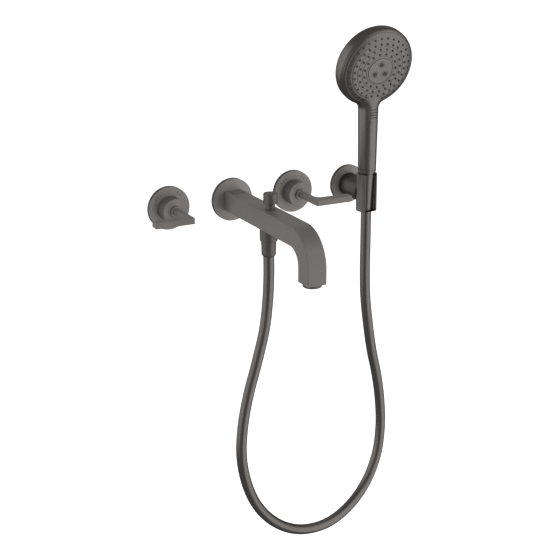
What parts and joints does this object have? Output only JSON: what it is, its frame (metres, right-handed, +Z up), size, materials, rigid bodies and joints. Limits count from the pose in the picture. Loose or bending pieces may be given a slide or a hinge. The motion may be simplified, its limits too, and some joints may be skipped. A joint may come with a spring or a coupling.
{
  "type": "wall mounted bath faucet",
  "caption": "Wall mounted bath mixer set with lever handles, square curved spout with pull-up diverter, looped hose and round hand shower in a slotted wall holder.",
  "frame": {"origin": "centre of the spout's wall plate, on the finished wall", "axes": "+X runs along the wall towards the hand shower, +Y points into the wall, +Z is up"},
  "size_m": [0.409, 0.273, 0.7752],
  "materials": {
    "brushed_metal": "brushed black chrome",
    "plated_plastic": "brushed black chrome plating on plastic",
    "hose_cover": "smooth metal-effect hose cover with a soft sheen",
    "brass_parts": "machined brass",
    "ceramic": "polished white ceramic",
    "dark_steel": "black oxide steel",
    "spring_steel": "bright drawn wire",
    "rubber_seal": "matt black rubber",
    "silicone_nozzle": "matt dark silicone",
    "dark_plastic": "matt black moulded plastic",
    "inner_plastic": "natural moulded plastic"
  },
  "bodies": {
    "root": {"spout_plate": "brushed_metal", "spout_inlet": "brass_parts", "spout_body": "brushed_metal", "spout_set_screw": "dark_steel", "aerator_housing": "brushed_metal", "aerator_insert": "dark_plastic", "diverter_bonnet": "brushed_metal", "diverter_spring": "spring_steel", "hose_outlet": "brushed_metal", "lower_hose_washer": "rubber_seal", "lower_hose_nut": "brushed_metal", "hose_tube": "hose_cover", "left_plate": "brushed_metal", "left_inlet": "brass_parts", "left_valve_body": "brass_parts", "left_gland": "brass_parts", "left_fixed_disc": "ceramic", "right_plate": "brushed_metal", "right_inlet": "brass_parts", "right_valve_body": "brass_parts", "right_gland": "brass_parts", "right_fixed_disc": "ceramic", "holder_plate": "brushed_metal", "holder_wall_disc": "brass_parts", "holder_studs": "dark_steel", "holder_arm": "brushed_metal", "holder_sleeve": "brushed_metal", "sleeve_liner": "dark_plastic"},
    "left_handle": {"left_moving_disc": "ceramic", "left_spindle": "brass_parts", "left_hub": "brushed_metal", "left_boss": "brushed_metal", "left_lever": "brushed_metal", "left_set_screw": "dark_steel"},
    "right_handle": {"right_moving_disc": "ceramic", "right_spindle": "brass_parts", "right_hub": "brushed_metal", "right_boss": "brushed_metal", "right_lever": "brushed_metal", "right_set_screw": "dark_steel"},
    "diverter": {"diverter_stem": "brass_parts", "diverter_plug": "rubber_seal", "diverter_knob": "brushed_metal"},
    "hose_end": {"upper_hose_nut": "brushed_metal", "upper_hose_washer": "rubber_seal"},
    "hand_shower": {"handle_shell": "plated_plastic", "handle_collar": "plated_plastic", "handle_water_tube": "inner_plastic", "head_shell": "plated_plastic", "water_chamber": "inner_plastic", "spray_face": "plated_plastic", "centre_disc": "plated_plastic", "outer_nozzle_rings": "silicone_nozzle", "inner_nozzle_rings": "silicone_nozzle", "centre_nozzles": "silicone_nozzle", "button_spring": "spring_steel"},
    "button": {"spray_button": "plated_plastic"}
  },
  "joints": [
    {"name": "left_lever_turn", "type": "hinge", "parent": "root", "child": "left_handle", "pos_m": [-0.1, 0, 0], "axis": [0, -1, 0], "range_deg": [0, 90]},
    {"name": "right_lever_turn", "type": "hinge", "parent": "root", "child": "right_handle", "pos_m": [0.1, 0, 0], "axis": [0, 1, 0], "range_deg": [0, 90]},
    {"name": "diverter_lift", "type": "slide", "parent": "root", "child": "diverter", "axis": [0, 0, 1], "range_m": [0, 0.007], "stiffness_N_per_m": 150, "deforming": ["diverter_spring"]},
    {"name": "hand_shower_lift", "type": "slide", "parent": "root", "child": "hose_end", "axis": [0, 0, 1], "range_m": [0, 0.062]},
    {"name": "hand_shower_swivel", "type": "hinge", "parent": "hose_end", "child": "hand_shower", "pos_m": [0.195, -0.0584, 0.031], "axis": [0, 0, 1], "range_deg": [-90, 90]},
    {"name": "spray_button_press", "type": "slide", "parent": "hand_shower", "child": "button", "axis": [0, 1, 0], "range_m": [0, 0.001], "stiffness_N_per_m": 600}
  ]
}
